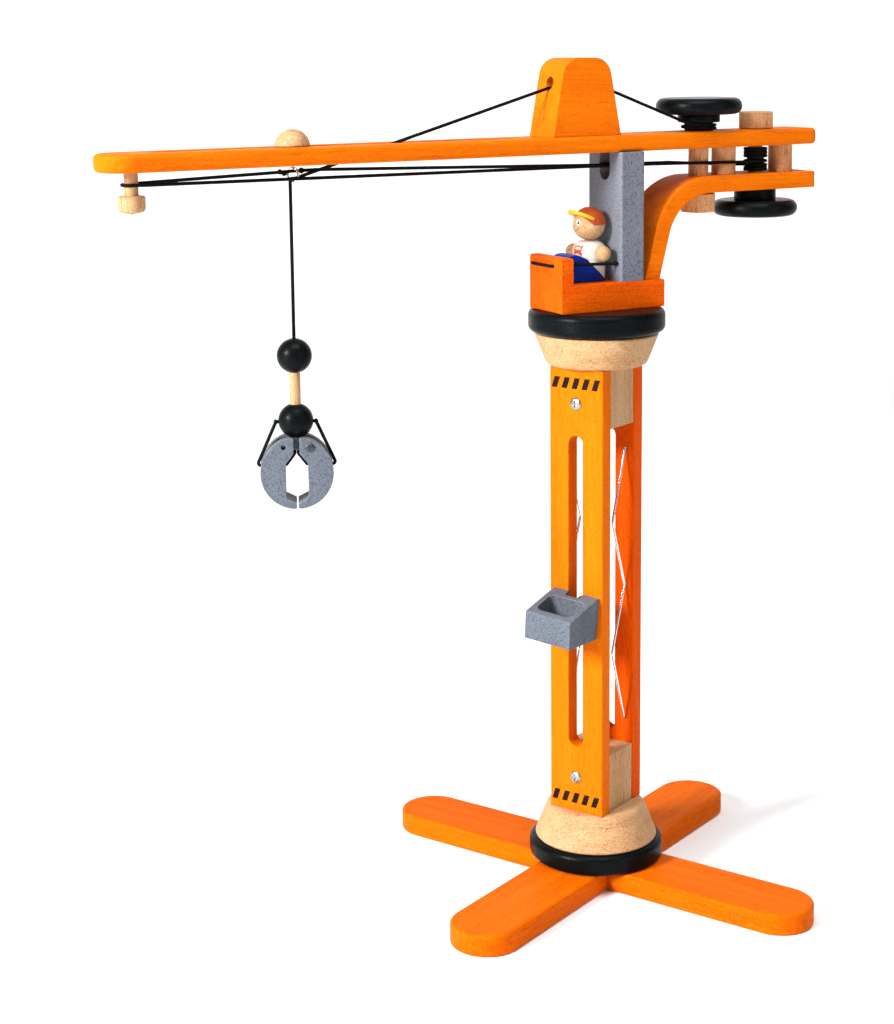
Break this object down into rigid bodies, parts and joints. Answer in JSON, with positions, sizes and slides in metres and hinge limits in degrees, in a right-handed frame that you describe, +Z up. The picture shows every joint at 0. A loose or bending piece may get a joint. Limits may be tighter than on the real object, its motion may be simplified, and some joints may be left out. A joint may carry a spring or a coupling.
{
  "type": "toy tower crane",
  "caption": "Wooden toy tower crane with a cross foot, slotted tower with sliding basket, slewing jib with trolley, two hand winches, grabber on a cord and a seated driver.",
  "frame": {"origin": "centre of the underside of the cross foot, on the floor", "axes": "+Z up the tower; the jib lies along X with the hook towards -X and the winches towards +X; at rest the foot and tower are turned -64.5 degrees about Z against the jib"},
  "size_m": [0.5257, 0.308, 0.5768],
  "materials": {
    "orange": "orange stained and lacquered wood, satin",
    "natural": "clear-sealed natural hardwood, satin",
    "black": "black stained and waxed wood, semi-gloss",
    "grey": "grey painted wood, satin with fine grain",
    "steel": "zinc plated steel",
    "chrome": "bright plated wire",
    "stripe": "printed black stripe, thin ink film",
    "cord": "braided black cord",
    "cap_brown": "red-brown painted wood, satin",
    "visor_yellow": "yellow painted wood, satin",
    "shirt_white": "white painted wood, satin",
    "trousers_blue": "blue painted wood, satin"
  },
  "bodies": {
    "base": {"foot_plank_side": "orange", "foot_plank_front": "orange", "foot_disc": "black", "foot_cone": "natural", "foot_bolt": "steel", "tower_plank_front": "orange", "tower_plank_back": "orange", "tower_block_lower": "natural", "tower_block_upper": "natural", "tower_screws": "steel", "brace_wire_right": "chrome", "brace_wire_left": "chrome", "hazard_stripes": "stripe", "upper_cone": "natural", "slew_bolt": "steel"},
    "slider": {"basket_slider": "natural"},
    "basket": {"basket": "grey"},
    "upper": {"turntable": "black", "cab": "orange", "cab_strap": "cord", "post": "grey", "bent_beam": "orange", "jib": "orange", "peak_block": "orange", "spacer_dowels": "natural", "tip_peg": "natural", "hoist_cord_back": "cord", "hoist_cord_front": "cord", "travel_cord_return": "cord", "travel_cord_out": "cord", "travel_cord_in": "cord", "driver_body": "shirt_white", "driver_legs": "trousers_blue", "driver_hands": "natural"},
    "head": {"driver_head": "natural", "driver_cap": "cap_brown", "driver_visor": "visor_yellow"},
    "trolley": {"trolley_head": "natural", "trolley_eye": "chrome"},
    "line": {"hoist_cord_drop": "cord"},
    "ball": {"ball_upper": "black"},
    "hook": {"hook_stick": "natural", "ball_lower": "black", "grab_plate": "grey", "jaw_screws": "steel", "jaw_cord_left": "cord", "jaw_cord_right": "cord"},
    "right_jaw": {"jaw_right": "grey"},
    "left_jaw": {"jaw_left": "grey"},
    "hoist_winch": {"hoist_wheel": "black", "hoist_hub": "black", "hoist_axle": "natural", "hoist_windings": "cord", "hoist_cap": "natural"},
    "travel_winch": {"travel_wheel": "black", "travel_hub": "black", "travel_axle": "natural", "travel_windings": "cord", "travel_cap": "natural"}
  },
  "joints": [
    {"name": "basket_slide", "type": "slide", "parent": "base", "child": "slider", "axis": [0, 0, 1], "range_m": [-0.091, 0.117]},
    {"name": "basket_tilt", "type": "hinge", "parent": "slider", "child": "basket", "pos_m": [-0.02432, -0.0116, 0.199], "axis": [0.9026, 0.4305, 0], "continuous": true},
    {"name": "slew", "type": "hinge", "parent": "base", "child": "upper", "pos_m": [0, 0, 0.3916], "axis": [0, 0, 1], "continuous": true},
    {"name": "driver_head_turn", "type": "hinge", "parent": "upper", "child": "head", "pos_m": [-0.0062, 0, 0.454], "axis": [0, 0, 1], "range_deg": [-80, 80]},
    {"name": "trolley_travel", "type": "slide", "parent": "upper", "child": "trolley", "axis": [1, 0, 0], "range_m": [-0.08, 0.14], "deforming": ["hoist_cord_front", "travel_cord_out", "travel_cord_in"]},
    {"name": "travel_winch_turn", "type": "hinge", "parent": "upper", "child": "travel_winch", "pos_m": [0.133, 0, 0.5], "axis": [0, 0, 1], "range_deg": [-1120, 640]},
    {"name": "line_swing", "type": "hinge", "parent": "trolley", "child": "line", "pos_m": [-0.22635, 0, 0.5056], "axis": [0, 1, 0], "range_deg": [-15, 15]},
    {"name": "hoist_lift", "type": "slide", "parent": "line", "child": "ball", "axis": [0, 0, 1], "range_m": [-0.27, 0.075], "deforming": ["hoist_cord_drop"]},
    {"name": "hook_turn", "type": "hinge", "parent": "ball", "child": "hook", "pos_m": [-0.22635, 0, 0.39], "axis": [0, 0, 1], "continuous": true},
    {"name": "right_jaw_open", "type": "hinge", "parent": "hook", "child": "right_jaw", "pos_m": [-0.21877, -0.00338, 0.3369], "axis": [-0.4067, -0.9135, 0], "range_deg": [0, 16], "deforming": ["jaw_cord_right"]},
    {"name": "left_jaw_open", "type": "hinge", "parent": "hook", "child": "left_jaw", "pos_m": [-0.23394, 0.00338, 0.3369], "axis": [0.4067, 0.9135, 0], "range_deg": [0, 16], "deforming": ["jaw_cord_left"]},
    {"name": "hoist_winch_turn", "type": "hinge", "parent": "upper", "child": "hoist_winch", "pos_m": [0.0838, 0, 0.5], "axis": [0, 0, 1], "range_deg": [-1380, 390]}
  ],
  "couplings": [
    {"joint": "travel_winch_turn", "follows": "trolley_travel", "rad_per_m": -135.13},
    {"joint": "hoist_winch_turn", "follows": "hoist_lift", "rad_per_m": 87.719},
    {"joint": "left_jaw_open", "follows": "right_jaw_open", "ratio": 1}
  ]
}
